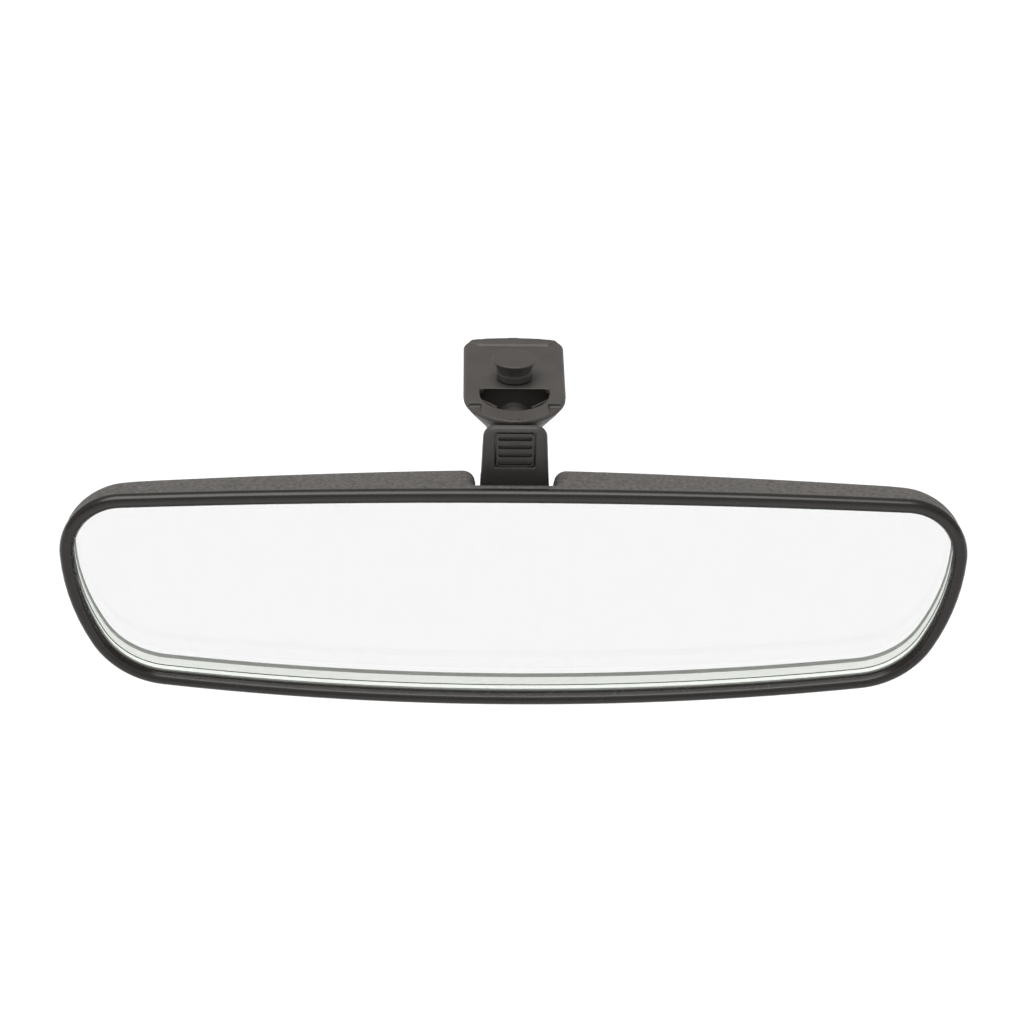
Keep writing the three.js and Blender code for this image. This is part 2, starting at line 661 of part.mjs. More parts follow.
// Under the plate the foot is hollow in front, down to the ball stud's boss and to the dome
// over the neck's upper end. Two ribs brace it.
function frontHollow() {
  const levels = FOOT_LEVELS.filter(([z]) => z < -1 && z > -13);
  const inside = levels.map(([z, halfWidth, front, rear, corner]) => (
    footRing([z - 0.1, halfWidth - FOOT_WALL, front + FOOT_WALL, rear - FOOT_WALL, corner])
  ));
  const top = inside[0][0].z;
  const bottom = inside[inside.length - 1][0].z;
  const hollow = solid(skin(inside, [new THREE.Vector3(0, 0, top), new THREE.Vector3(0, 0, bottom)]));
  const boss = turned([[0, 8.6], [4.3, 8.6], [4.3, 24], [0, 24]], BALL, STEM);
  const room = box(-20, 20, -40, WINDOW_REAR_Y + 1.4, -12, 0);
  const ribs = [-1, 1].map((side) => (
    box(0, 7.5, -0.4, 0.4, -20, -2.2).rotateZ(rad(-90 - 43 * side)).translate(side * 9.8, -6, 0)
  ));
  let body = hollow.intersect(solid(room));
  for (const piece of [boss, dome(), ...ribs]) body = body.subtract(solid(piece));
  return body;
}

function recessShape(side) {
  const shape = new THREE.Shape();
  const points = [[8.9, -15.4], [12.7, -15.4], [9.1, -21.8]];
  points.forEach(([x, y], i) => (i ? shape.lineTo(side * x, y) : shape.moveTo(side * x, y)));
  return shape;
}

// The crowned lip along the plate's rear edge: a ramp that rises towards the back.
function rearLip() {
  const rear = FOOT_REAR_Y - 0.2;
  const arch = new THREE.Shape();
  arch.moveTo(-12, -1);
  arch.lineTo(12, -1);
  arch.lineTo(12, 0.35);
  arch.quadraticCurveTo(0, 1.7, -12, 0.35);
  const corners = [[LIP_HALF, LIP_FRONT_Y], [LIP_HALF + 2.6, LIP_FRONT_Y + 2.2], [LIP_HALF + 2, rear]];
  const plan = new THREE.Shape([...corners, ...corners.toReversed().map(([x, y]) => [-x, y])].map(
    ([x, y]) => new THREE.Vector2(x, y),
  ));
  const above = box(-15, 15, -1, 12, 0, 4).rotateX(rad(12)).translate(0, LIP_FRONT_Y, 0.35);
  return carve(panel(arch, LIP_FRONT_Y - 1, rear), { keep: [slab(plan, -1, 3)], cut: [above] });
}

function footShell() {
  const rings = FOOT_LEVELS.map(footRing);
  const bottom = FOOT_LEVELS[FOOT_LEVELS.length - 1][0];
  const bell = skin(rings, [new THREE.Vector3(), new THREE.Vector3(0, 1, bottom)]);
  const opening = solid(slab(windowShape(), -3, 3)).subtract(solid(dome()));
  return carve(bell, {
    add: [rearLip()],
    cut: [
      geometryOf(opening),
      geometryOf(frontHollow()),
      ball(SCOOP_R, BALL),
      slab(recessShape(1), -1.1, 2),
      slab(recessShape(-1), -1.1, 2),
      ...[-1.15, 1.15].map((x) => box(x - 0.45, x + 0.45, -25.5, -24.6, -0.8, 2)),
      box(1 - WINDOW_HALF, WINDOW_HALF - 1, WINDOW_REAR_Y - 1, WINDOW_REAR_Y + 1.4, -3, -EDGE_THICK),
      rod(SHANK_R + GAP, new THREE.Vector3(0, 0, -SHANK_LENGTH - GAP), new THREE.Vector3(0, 0, 3)),
      rod(STEM_R + GAP, along(7), along(STUD_END), 20),
      turned([[0, 7], [3.9, 7], [3.9, 10.4], [0, 10.4]], BALL, STEM, 20),
      rod(1 + GAP, along(STUD_END - 1), along(SCREW_HEAD_AT), 16),
      rod(4.3, along(SCREW_HEAD_AT - 1.4), along(50), 20),
    ],
  });
}

function mountingStud() {
  const profile = [
    [0, -SHANK_LENGTH], [SHANK_R, -SHANK_LENGTH], [SHANK_R, GAP], [4.8, GAP], [4.8, 2.2],
    [STUD_NECK_R, 2.35], [4.7, 3.1], [5.05, 4], [5.55, 4.9], [STUD_HEAD_R, STUD_HEIGHT - 0.35],
    [STUD_HEAD_R - 0.2, STUD_HEIGHT], [0, STUD_HEIGHT],
  ];
  return turned(profile, new THREE.Vector3(), new THREE.Vector3(0, 0, 1));
}

// ---------------------------------------------------------------- materials and assembly
function plastic(color, roughness) {
  return new THREE.MeshStandardMaterial({ color, roughness, metalness: 0 });
}
const black = plastic(0x2b2a29, 0.55);
const grained = plastic(0x343230, 0.75);
const footBlack = plastic(0x3a3734, 0.6);
const acetal = plastic(0xd9d6cc, 0.4);
const foam = plastic(0x1c1c1c, 0.95);
const steel = new THREE.MeshStandardMaterial({ color: 0xb4b4b2, roughness: 0.35, metalness: 1 });
const silver = new THREE.MeshStandardMaterial({ color: 0xf2f4f4, roughness: 0.03, metalness: 1 });
const glass = new THREE.MeshStandardMaterial({ color: 0xdff0e6, roughness: 0.02, metalness: 0 });

const mirror = new THREE.Group();
function place(name, geometry, material) {
  const mesh = new THREE.Mesh(geometry, material);
  mesh.name = name;
  mirror.add(mesh);
}

place("foot_shell", footShell(), footBlack);
place("mounting_stud", mountingStud(), footBlack);
place("ball_stud", ballStud(), steel);
place("stud_screw", studScrew(), steel);
place("stud_washer", studWasher(), steel);
place("ball_seat_ring", seat(84, 112), acetal);
place("ball_seat_cup", seat(0, 70), acetal);
place("neck_shell", neckShell(), black);
place("socket_clamp", socketClamp(), black);
CLAMP_SCREWS.forEach((x, i) => place(`clamp_screw_${i + 1}`, clampScrew(x), steel));
place("release_tongue", releaseTongue(), black);
place("hinge_pin", hingePin(), steel);
place("pin_bracket", pinBracket(), steel);
SCREWS.forEach((at, i) => place(`bracket_screw_${i + 1}`, bracketScrew(at), steel));
place("day_night_lever", dayNightLever(), black);
place("lever_pin", rodX(LEVER_PIN_R, -8.7, 8.7, LEVER_Y, LEVER_Z, 12), steel);
place("housing", housing(), grained);
place("bezel", bezelFrame(), black);
place("mirror_glass", mirrorGlass(), glass);
place("silver_coating", sheetBehindGlass(GLASS_INSET, GAP, GAP + COATING_THICK), silver);
const PAD_FRONT = 2 * GAP + COATING_THICK;
place("backing_pad", sheetBehindGlass(GLASS_INSET + 1, PAD_FRONT, PAD_FRONT + PAD_THICK), foam);

export default mirror;
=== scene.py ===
import math

import bmesh
import bpy
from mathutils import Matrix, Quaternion, Vector


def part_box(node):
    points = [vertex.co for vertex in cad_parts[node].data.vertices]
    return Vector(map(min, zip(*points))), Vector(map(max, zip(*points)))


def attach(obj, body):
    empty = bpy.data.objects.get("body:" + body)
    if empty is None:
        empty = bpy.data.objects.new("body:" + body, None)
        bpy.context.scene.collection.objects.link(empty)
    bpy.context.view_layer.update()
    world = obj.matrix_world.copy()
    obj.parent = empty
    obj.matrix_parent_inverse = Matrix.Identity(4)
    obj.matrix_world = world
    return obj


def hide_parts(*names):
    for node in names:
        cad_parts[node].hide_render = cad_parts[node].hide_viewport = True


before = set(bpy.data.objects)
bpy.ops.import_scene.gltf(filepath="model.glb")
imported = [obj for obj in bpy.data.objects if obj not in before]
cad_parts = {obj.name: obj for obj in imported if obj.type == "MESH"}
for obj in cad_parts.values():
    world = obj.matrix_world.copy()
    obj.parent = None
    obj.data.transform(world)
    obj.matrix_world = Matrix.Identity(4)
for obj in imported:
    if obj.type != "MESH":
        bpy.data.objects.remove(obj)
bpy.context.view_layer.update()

MM = 0.001
BEZEL_LOW, BEZEL_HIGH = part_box("bezel")
HOUSING_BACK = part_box("housing")[1].y
GLASS_LOW, GLASS_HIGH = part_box("mirror_glass")
PIN_LOW, PIN_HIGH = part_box("lever_pin")
TONGUE_LOW, TONGUE_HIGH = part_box("release_tongue")

# ---------------------------------------------------------------- the head's outline
# A chain of tangent arcs from top centre down the right end: (radius in mm, turn in degrees).
# The bottom's arc is worked out from them.
HEAD_ARCS = [(2412, 2.46), (17.2, 89.8), (60.2, 26.4), (24.8, 54.4)]
# The most from one point of the outline to the next: degrees of turn, and millimetres along it.
ARC_STEP = 4
ARC_LENGTH = 6
MEASURING_STEPS = 20  # points per arc while the arcs' size is being worked out
NOTCH_STEPS = 230  # points along each half of the top edge of a housing ring, for the notch
HEAD_FRONT = BEZEL_LOW.y
HEAD_TOP = BEZEL_HIGH.z
HEAD_MIDDLE = (BEZEL_LOW.z + BEZEL_HIGH.z) / 2
HALF_WIDTH = BEZEL_HIGH.x


def walk(arcs, inset):
    """The right half of the outline, inset all round, as points (x, z) from its top centre.

    Each arc is its radius, its turn in radians and its number of steps.
    """
    x, z, heading = 0.0, -inset, 0.0
    points = [(x, z)]
    for radius, turn, steps in arcs:
        r = radius - inset
        x0, z0 = x, z
        for i in range(1, steps + 1):
            angle = heading + turn * i / steps
            x = x0 + r * (math.sin(angle) - math.sin(heading))
            z = z0 - r * (math.cos(heading) - math.cos(angle))
            points.append((x, z))
        heading += turn
    return points


def head_chain():
    """The arcs scaled to the head's width, with the bottom arc that closes them."""
    raw = [(r, math.radians(t), MEASURING_STEPS) for r, t in HEAD_ARCS]
    points = walk(raw, 0)
    scale = HALF_WIDTH / max(x for x, z in points)
    last_turn = math.pi - sum(turn for r, turn, steps in raw)
    raw.append((points[-1][0] / math.sin(last_turn), last_turn, MEASURING_STEPS))
    chain = []
    for radius, turn, _ in raw:
        by_turn = math.degrees(turn) / ARC_STEP
        by_length = radius * scale * turn / (ARC_LENGTH * MM)
        chain.append((radius * scale, turn, math.ceil(max(by_turn, by_length))))
    return chain


CHAIN = head_chain()
FINE_CHAIN = [(*CHAIN[0][:2], NOTCH_STEPS), *CHAIN[1:]]


def outline(inset, chain=CHAIN):
    """The whole outline, inset all round, clockwise from its top centre."""
    right = walk(chain, inset)
    left = [(-x, z) for x, z in reversed(right[1:-1])]
    return [(x, HEAD_TOP + z) for x, z in [*right[:-1], (0, right[-1][1]), *left]]


def ring(inset, depth, chain=CHAIN):
    """The outline inset by millimetres, at a depth in millimetres behind the bezel's front.

    The depth is a number, or a function of a point's x and z.
    """
    at = depth if callable(depth) else lambda x, z: depth
    return [Vector((x, HEAD_FRONT + at(x, z) * MM, z)) for x, z in outline(inset * MM, chain)]


# ---------------------------------------------------------------- mesh helpers
def new_piece(name, mesh, body, material, smooth=True):
    """A mesh as a named piece that rides on a body, shaded smooth or flat."""
    piece = bpy.data.objects.new(name, mesh)
    bpy.context.scene.collection.objects.link(piece)
    mesh.materials.clear()
    mesh.materials.append(material)
    for face in mesh.polygons:
        face.use_smooth = smooth
    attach(piece, body)
    return piece


def ring_mesh(name, rings, looped=True):
    """Rings of equal length as one skin: a closed tube, or capped at its first and last ring."""
    made = bmesh.new()
    rows = [[made.verts.new(p) for p in points] for points in rings]
    count = len(rows[0])
    pairs = list(zip(rows, rows[1:]))
    if looped:
        pairs.append((rows[-1], rows[0]))
    for a, b in pairs:
        for j in range(count):
            k = (j + 1) % count
            made.faces.new((a[j], a[k], b[k], b[j]))
    if not looped:
        made.faces.new(list(reversed(rows[0])))
        made.faces.new(rows[-1])
    bmesh.ops.recalc_face_normals(made, faces=made.faces)
    mesh = bpy.data.meshes.new(name)
    made.to_mesh(mesh)
    made.free()
    return mesh


def apply_modifiers(piece):
    """Makes the modifiers' result the piece's own mesh."""
    bpy.context.view_layer.update()
    graph = bpy.context.evaluated_depsgraph_get()
    mesh = bpy.data.meshes.new_from_object(piece.evaluated_get(graph))
    piece.modifiers.clear()
    piece.data = mesh
    for face in mesh.polygons:
        face.use_smooth = True


def cut(piece, cutter_mesh):
    """Takes a closed mesh away from the piece."""
    cutter = bpy.data.objects.new("cutter", cutter_mesh)
    bpy.context.scene.collection.objects.link(cutter)
    tool = piece.modifiers.new("cut", "BOOLEAN")
    tool.operation = "DIFFERENCE"
    tool.solver = "EXACT"
    tool.object = cutter
    apply_modifiers(piece)
    bpy.data.objects.remove(cutter)


def prism(name, profile, y0, y1):
    """A profile of (x, z) points extruded from y0 to y1."""
    front = [Vector((x, y0, z)) for x, z in profile]
    back = [Vector((x, y1, z)) for x, z in profile]
    return ring_mesh(name, [front, back], looped=False)


def rounded_copy(name, node, body, slot, material, voxel, passes):
    """A fine copy of a CAD node, its edges rounded as moulding leaves them.

    The voxel is in millimetres, and passes of smoothing do the rounding.
    """
    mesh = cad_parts[node].data.copy()
    piece = new_piece(name, mesh, body, material)
    remesh = piece.modifiers.new("remesh", "REMESH")
    remesh.mode = "VOXEL"
    remesh.voxel_size = voxel * MM
    smooth = piece.modifiers.new("smooth", "SMOOTH")
    smooth.factor = 0.5
    smooth.iterations = passes
    apply_modifiers(piece)
    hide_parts(node)
    return piece


# ---------------------------------------------------------------- materials
class Nodes:
    """A short way to build a material's node tree."""

    def __init__(self, name):
        self.material = bpy.data.materials.new(name)
        self.material.use_nodes = True
        self.tree = self.material.node_tree
        self.shader = self.tree.nodes["Principled BSDF"]
        self.place = self.add("ShaderNodeTexCoord").outputs["Object"]

    def add(self, kind, **settings):
        node = self.tree.nodes.new(kind)
        for key, value in settings.items():
            setattr(node, key, value)
        return node

    def link(self, source, target):
        self.tree.links.new(source, target)

    def noise(self, size, detail=3.0):
        """Noise whose blotches are about size millimetres across."""
        node = self.add("ShaderNodeTexNoise")
        node.inputs["Scale"].default_value = 1 / (size * MM)
        node.inputs["Detail"].default_value = detail
        self.link(self.place, node.inputs["Vector"])
        return node.outputs["Fac"]

    def cells(self, size):
        """Rounded cells about size millimetres across, low in their middles."""
        node = self.add("ShaderNodeTexVoronoi", feature="SMOOTH_F1")
        node.inputs["Scale"].default_value = 1 / (size * MM)
        node.inputs["Smoothness"].default_value = 0.35
        self.link(self.place, node.inputs["Vector"])
        return node.outputs["Distance"]

    def spread(self, source, low, high):
        """source, from 0 to 1, as a number from low to high."""
        node = self.add("ShaderNodeMapRange")
        node.inputs["To Min"].default_value = low
        node.inputs["To Max"].default_value = high
        self.link(source, node.inputs["Value"])
        return node.outputs["Result"]

    def between(self, source, low, high):
        """source, from 0 to 1, as a colour from low to high."""
        node = self.add("ShaderNodeValToRGB")
        node.color_ramp.elements[0].color = (*low, 1)
        node.color_ramp.elements[1].color = (*high, 1)
        node.color_ramp.elements[0].position = 0.3
        node.color_ramp.elements[1].position = 0.7
        self.link(source, node.inputs["Fac"])
        return node.outputs["Color"]

    def bump(self, height, depth, below=None):
        """A bump of a height source, depth millimetres deep, on top of another one."""
        node = self.add("ShaderNodeBump")
        node.inputs["Distance"].default_value = depth * MM
        self.link(height, node.inputs["Height"])
        if below:
            self.link(below, node.inputs["Normal"])
        return node.outputs["Normal"]

    def set_roughness(self, source, low, high):
        self.link(self.spread(source, low, high), self.shader.inputs["Roughness"])

    def set_normal(self, source):
        self.link(source, self.shader.inputs["Normal"])


def set_colour(nodes, base, source, change=0.12):
    """The base colour, a little darker and lighter from place to place."""
    low = tuple(c * (1 - change) for c in base)
    high = tuple(c * (1 + change) for c in base)
    nodes.link(nodes.between(source, low, high), nodes.shader.inputs["Base Color"])


def moulded_plastic(name, base, roughness, grain, depth, gloss=0.5):
    """Satin moulded plastic with a fine spark-eroded grain, its size and depth in millimetres."""
    nodes = Nodes(name)
    nodes.shader.inputs["Specular IOR Level"].default_value = gloss
    set_colour(nodes, base, nodes.noise(size=9.0))
    nodes.set_roughness(nodes.noise(size=3.0), roughness - 0.06, roughness + 0.06)
    flow = nodes.bump(nodes.noise(size=14.0, detail=1.0), depth=0.05)
    nodes.set_normal(nodes.bump(nodes.noise(grain, detail=2.0), depth, below=flow))
    return nodes.material


def grained_plastic(name, base, roughness):
    """Plastic moulded with a leather grain: shallow dimples with soft ridges between them."""
    nodes = Nodes(name)
    cells = nodes.cells(size=0.75)
    fine = nodes.noise(size=0.3, detail=2.0)
    set_colour(nodes, base, nodes.noise(size=1.1, detail=4.0), change=0.3)
    nodes.set_roughness(fine, roughness - 0.1, roughness + 0.1)
    dimples = nodes.bump(cells, depth=0.26)
    nodes.set_normal(nodes.bump(fine, depth=0.09, below=dimples))
    return nodes.material


def plated_steel(name):
    """Zinc-plated steel, finely mottled."""
    nodes = Nodes(name)
    nodes.shader.inputs["Metallic"].default_value = 1.0
    set_colour(nodes, (0.5, 0.5, 0.48), nodes.noise(size=2.5), change=0.1)
    nodes.set_roughness(nodes.noise(size=0.8), 0.22, 0.42)
    nodes.set_normal(nodes.bump(nodes.noise(size=0.25, detail=2.0), depth=0.01))
    return nodes.material


def foam(name):
    """Closed-cell foam."""
    nodes = Nodes(name)
    set_colour(nodes, (0.02, 0.02, 0.02), nodes.noise(size=2.0), change=0.3)
    nodes.shader.inputs["Roughness"].default_value = 0.95
    nodes.set_normal(nodes.bump(nodes.cells(size=0.8), depth=0.2))
    return nodes.material


def clear_glass(name):
    """Soda-lime glass with a faint green tint."""
    nodes = Nodes(name)
    nodes.shader.inputs["Base Color"].default_value = (0.98, 0.995, 0.985, 1)
    nodes.shader.inputs["Roughness"].default_value = 0.0
    nodes.shader.inputs["IOR"].default_value = 1.52
    nodes.shader.inputs["Transmission Weight"].default_value = 1.0
    return nodes.material


def ground_glass(name, base, glow):
    """A ground edge of the glass. Its glow stands for the light that travels inside the glass."""
    nodes = Nodes(name)
    set_colour(nodes, base, nodes.noise(size=1.5), change=0.06)
    nodes.shader.inputs["Roughness"].default_value = 0.7
    nodes.shader.inputs["Emission Color"].default_value = (0.93, 0.97, 0.9, 1)
    nodes.shader.inputs["Emission Strength"].default_value = glow
    nodes.set_normal(nodes.bump(nodes.noise(size=0.4), depth=0.03))
    return nodes.material


def silvering(name):
    """The silvered back of the glass."""
    nodes = Nodes(name)
    nodes.shader.inputs["Metallic"].default_value = 1.0
    nodes.shader.inputs["Base Color"].default_value = (0.849, 0.823, 0.842, 1)
    nodes.shader.inputs["Roughness"].default_value = 0.015
    return nodes.material


HOUSING_COLOUR = (0.098, 0.091, 0.085)
BEZEL_COLOUR = (0.0165, 0.0135, 0.0115)
NECK_COLOUR = (0.053, 0.049, 0.046)
FOOT_COLOUR = (0.057, 0.051, 0.046)
SEAT_COLOUR = (0.7, 0.68, 0.62)
GROUND_COLOUR = (0.88, 0.91, 0.88)
# The bevel's grey is partly the ground glass's own and partly painted shade: with no glow it darkens
# the glass's front edge, and the silvering mirrors it as a grey band.
ARRIS_GREY_AND_PAINTED_SHADE = (0.62, 0.64, 0.6)
HOUSING_MATERIAL = grained_plastic("housing_grain", HOUSING_COLOUR, roughness=0.62)
BEZEL_MATERIAL = moulded_plastic(
    "bezel_plastic", BEZEL_COLOUR, roughness=0.26, grain=0.35, depth=0.008, gloss=0.4
)
NECK_MATERIAL = moulded_plastic("neck_plastic", NECK_COLOUR, roughness=0.5, grain=0.3, depth=0.11)
FOOT_MATERIAL = moulded_plastic("foot_plastic", FOOT_COLOUR, roughness=0.48, grain=0.4, depth=0.035)
SEAT_MATERIAL = moulded_plastic("seat_acetal", SEAT_COLOUR, roughness=0.4, grain=0.5, depth=0.01)
STEEL_MATERIAL = plated_steel("zinc_steel")
FOAM_MATERIAL = foam("pad_foam")
GLASS_MATERIAL = clear_glass("glass_clear")
GROUND_MATERIAL = ground_glass("glass_ground_edge", GROUND_COLOUR, glow=0.68)
# The bevel's material: ground glass with no glow, its grey partly painted shade.
ARRIS_AND_SHADE_MATERIAL = ground_glass("glass_arris_painted_shade", ARRIS_GREY_AND_PAINTED_SHADE, glow=0.0)
SILVER_MATERIAL = silvering("glass_silvering")

# ---------------------------------------------------------------- head
BEZEL_DEPTH = 2.8  # millimetres, as are the sizes below
GLASS_INSET = 3.4
GLASS_FRONT = (GLASS_LOW.y - HEAD_FRONT) / MM
GLASS_TOP_THICK = 2.2
GLASS_BOTTOM_THICK = 5.7
GAP = 0.3  # between the bezel and what it meets
LIP_WIDER = 0.5  # the bezel's lip along the top, over the lip along the bottom
SKIRT_LENGTH = 5  # the bezel's thin wall that goes back inside the housing
SKIRT_THICK = 0.6
# The bevel of the glass's front edge: at the top, and at the bottom across the face and down the edge.
ARRIS_TOP = 0.15
ARRIS_BOTTOM_IN = 1
ARRIS_BOTTOM_BACK = 0.5
SILVER_INSET = 0.25  # of the silvering from the glass's edge
SILVER_DEPTHS = (0.1, 0.55)  # of its front and back behind the glass
HOUSING_RIM = BEZEL_DEPTH + GAP
HOUSING_DEPTH = (HOUSING_BACK - HEAD_FRONT) / MM
HOUSING_WALL = 1.6
DEEPEST_INSET = 15  # of the back's rings, short of the outline's tightest arc
END_TAPER = 0.42  # how much of its depth the back loses towards the head's ends
TAPER_ROUND = 0.15  # rounds the taper off at the middle
CORNER_TAPER = 0.13  # how much more it loses round the head's corners
CORNER_START = 0.82  # where that starts and ends, in half widths from the middle
CORNER_END = 0.97
NOTCH_HALF = 10.4
NOTCH_ROUND = 3.4  # where the notch's sides meet the housing's back
NOTCH_FRONT = 5.9
NOTCH_FLOOR = -30
NOTCH_CORNER = 3
# Where the notch's rolled edge fades out: towards the housing's rim, and towards the notch's floor.
FADE_DEPTHS = (NOTCH_FRONT - 0.6, NOTCH_FRONT + 1.6)
FADE_HEIGHTS = (NOTCH_FLOOR - 2, NOTCH_FLOOR + 3)
LEVER_SLOT_HALF = 6.3
LEVER_SLOT_REACH = 4.6  # in front of the lever's pin and behind it
LEVER_SLOT_TOP = 4  # above the pin
LEVER_SLOT_BOTTOM = -90  # a height below the whole head
LEVER_PIN_Y = (PIN_LOW.y + PIN_HIGH.y) / 2 / MM
LEVER_PIN_Z = (PIN_LOW.z + PIN_HIGH.z) / 2 / MM


def towards_bottom(upper, lower):
    """A ring like upper at the top of the glass, and more and more like lower further down."""
    tall = GLASS_HIGH.z - GLASS_LOW.z
    return [a.lerp(b, (GLASS_HIGH.z - a.z) / tall) for a, b in zip(upper, lower)]


def bezel_frame():
    """A rolled outer band, a fine groove, and a lip that falls steeply to the glass.

    The face is a little wider along the top than along the bottom.
    """
    seat = GLASS_FRONT - GAP
    roll = [
        (0.2, BEZEL_DEPTH), (0.04, 2.4), (0, 1.95), (0.05, 1.5), (0.18, 1.05), (0.4, 0.62),
        (0.7, 0.3), (1.05, 0.1), (1.4, 0.02), (1.8, 0.04), (2.15, 0.14), (2.4, 0.3),
    ]
    lip = [
        (2.5, 0.37), (2.58, 0.33), (2.68, 0.38), (2.85, 0.6), (3.05, 0.95),
        (3.22, 1.3), (3.36, 1.7), (3.5, seat),
    ]
    skirt_in = GLASS_INSET - GAP
    skirt_out = skirt_in - SKIRT_THICK
    skirt_end = BEZEL_DEPTH + SKIRT_LENGTH
    back = [
        (skirt_in, seat), (skirt_in, skirt_end), (skirt_out, skirt_end), (skirt_out, BEZEL_DEPTH),
    ]
    rings = [ring(inset, depth) for inset, depth in roll]
    for inset, depth in lip:
        rings.append(towards_bottom(ring(inset + LIP_WIDER, depth), ring(inset, depth)))
    rings += [ring(inset, depth) for inset, depth in back]
    mesh = ring_mesh("bezel_frame", rings)
    piece = new_piece("bezel_frame", mesh, "head", BEZEL_MATERIAL)
    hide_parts("bezel")


def glass_back(x, z):
    """Depth of the glass's silvered back: the wedge thickens from top to bottom."""
    share = (GLASS_HIGH.z - z) / (GLASS_HIGH.z - GLASS_LOW.z)
    return GLASS_FRONT + GLASS_TOP_THICK + share * (GLASS_BOTTOM_THICK - GLASS_TOP_THICK)


def behind_glass(extra):
    """Depth that is extra millimetres behind the glass's back, for a ring."""
    return lambda x, z: glass_back(x, z) + extra


def pane_material(squareness):
    """The material's place in the pane's list, by how squarely a face looks forwards or back."""
    # The bevel's material is partly painted shade.
    clear, ground, arris_and_shade = 0, 1, 2
    if squareness > 0.97:
        return clear
    if squareness < 0.3:
        return ground
    return arris_and_shade


def mirror_pane():
    """The wedge glass, with clear faces, a ground edge and a bevel that widens downwards, the bevel's
    grey partly painted shade.
    """
    face_edge = towards_bottom(
        ring(GLASS_INSET + ARRIS_TOP, GLASS_FRONT), ring(GLASS_INSET + ARRIS_BOTTOM_IN, GLASS_FRONT)
    )
    bevel_edge = towards_bottom(
        ring(GLASS_INSET, GLASS_FRONT + ARRIS_TOP), ring(GLASS_INSET, GLASS_FRONT + ARRIS_BOTTOM_BACK)
    )
    back_edge = ring(GLASS_INSET, behind_glass(0))
    mesh = ring_mesh("mirror_pane", [face_edge, bevel_edge, back_edge], looped=False)
    pane = new_piece("mirror_pane", mesh, "head", GLASS_MATERIAL, smooth=False)
    mesh.materials.append(GROUND_MATERIAL)
    mesh.materials.append(ARRIS_AND_SHADE_MATERIAL)
    for face in mesh.polygons:
        face.material_index = pane_material(abs(face.normal.y))
    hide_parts("mirror_glass")


def silver_back():
    """The silvering, as a thin sheet behind the glass."""
    sheet = [ring(GLASS_INSET + SILVER_INSET, behind_glass(depth)) for depth in SILVER_DEPTHS]
    mesh = ring_mesh("silver_back", sheet, looped=False)
    silver = new_piece("silver_back", mesh, "head", SILVER_MATERIAL, smooth=False)
    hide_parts("silver_coating")


# The housing's back from its rim inwards: (inset in mm, share of the full depth).
BACK_CURVE = [(0.5, 0), (0.6, 0.29), (1.6, 0.49), (4.4, 0.66), (8.6, 0.8), (13, 0.88)]
BACK_STEPS = 5  # rings from one point of that curve to the next
DOME_SIZES = [0.83, 0.66, 0.5, 0.33, 0.16, 0.06, 0.01]  # of the rings inside its last one


def smooth_curve(points, steps):
    """A Catmull-Rom curve through points, with steps between one point and the next."""
    ends = [points[0], *points, points[-1]]
    made = []
    for a, b, c, d in zip(ends, ends[1:], ends[2:], ends[3:]):
        for i in range(steps):
            t = i / steps
            made.append(tuple(
                0.5 * (2 * q + (r - p) * t + (2 * p - 5 * q + 4 * r - s) * t * t
                       + (3 * q - p - 3 * r + s) * t ** 3)
                for p, q, r, s in zip(a, b, c, d)
            ))
    made.append(points[-1])
    return made


def smooth_step(value, low, high):
    """0 below low, 1 above high, and a soft S between them."""
    t = min(max((value - low) / (high - low), 0), 1)
    return t * t * (3 - 2 * t)


def round_into_notch(rings):
    """Rolls the rings over towards the notch's sides, square to the surface."""
    rolled = [list(rings[0])]
    for before, row, after in zip(rings, rings[1:], rings[2:]):
        moved = []
        for a, p, b in zip(before, row, after):
            inwards = Vector((0, b.z - a.z, a.y - b.y)).normalized()
            beyond = NOTCH_HALF + NOTCH_ROUND - abs(p.x) / MM
            beyond = min(max(beyond, 0), NOTCH_ROUND)
            drop = NOTCH_ROUND - math.sqrt(NOTCH_ROUND ** 2 - beyond ** 2)
            drop *= smooth_step((p.y - HEAD_FRONT) / MM, *FADE_DEPTHS)
            drop *= smooth_step(p.z / MM, *FADE_HEIGHTS)
            moved.append(p + inwards * drop * MM)
        rolled.append(moved)
    return [*rolled, list(rings[-1])]


def shell_rings(wall):
    """Rings of the housing's back from its rim to the middle of its dome."""
    def tapered(share):
        def depth(x, z):
            along = abs(x) / HALF_WIDTH
            taper = 1 - END_TAPER * (math.hypot(along, TAPER_ROUND) - TAPER_ROUND)
            taper -= CORNER_TAPER * smooth_step(along, CORNER_START, CORNER_END)
            return HOUSING_RIM + (HOUSING_DEPTH - wall - HOUSING_RIM) * share * taper
        return depth

    curve = smooth_curve(BACK_CURVE, BACK_STEPS)
    rings = []
    for inset, share in curve:
        rings.append(ring(min(inset + wall, DEEPEST_INSET), tapered(share), FINE_CHAIN))
    last, last_share = rings[-1], curve[-1][1]
    for size in DOME_SIZES:
        share = last_share + (1 - last_share) * (1 - size * size)
        row = []
        for p in last:
            x, z = p.x * size, HEAD_MIDDLE + (p.z - HEAD_MIDDLE) * size
            row.append(Vector((x, HEAD_FRONT + tapered(share)(x, z) * MM, z)))
        rings.append(row)
    return round_into_notch(rings)


def arc_points(centre, radius, start, end, steps=8):
    """Points along an arc from start to end, in degrees."""
    made = []
    for i in range(steps + 1):
        angle = math.radians(start + (end - start) * i / steps)
        made.append((centre[0] + radius * math.cos(angle), centre[1] + radius * math.sin(angle)))
    return made


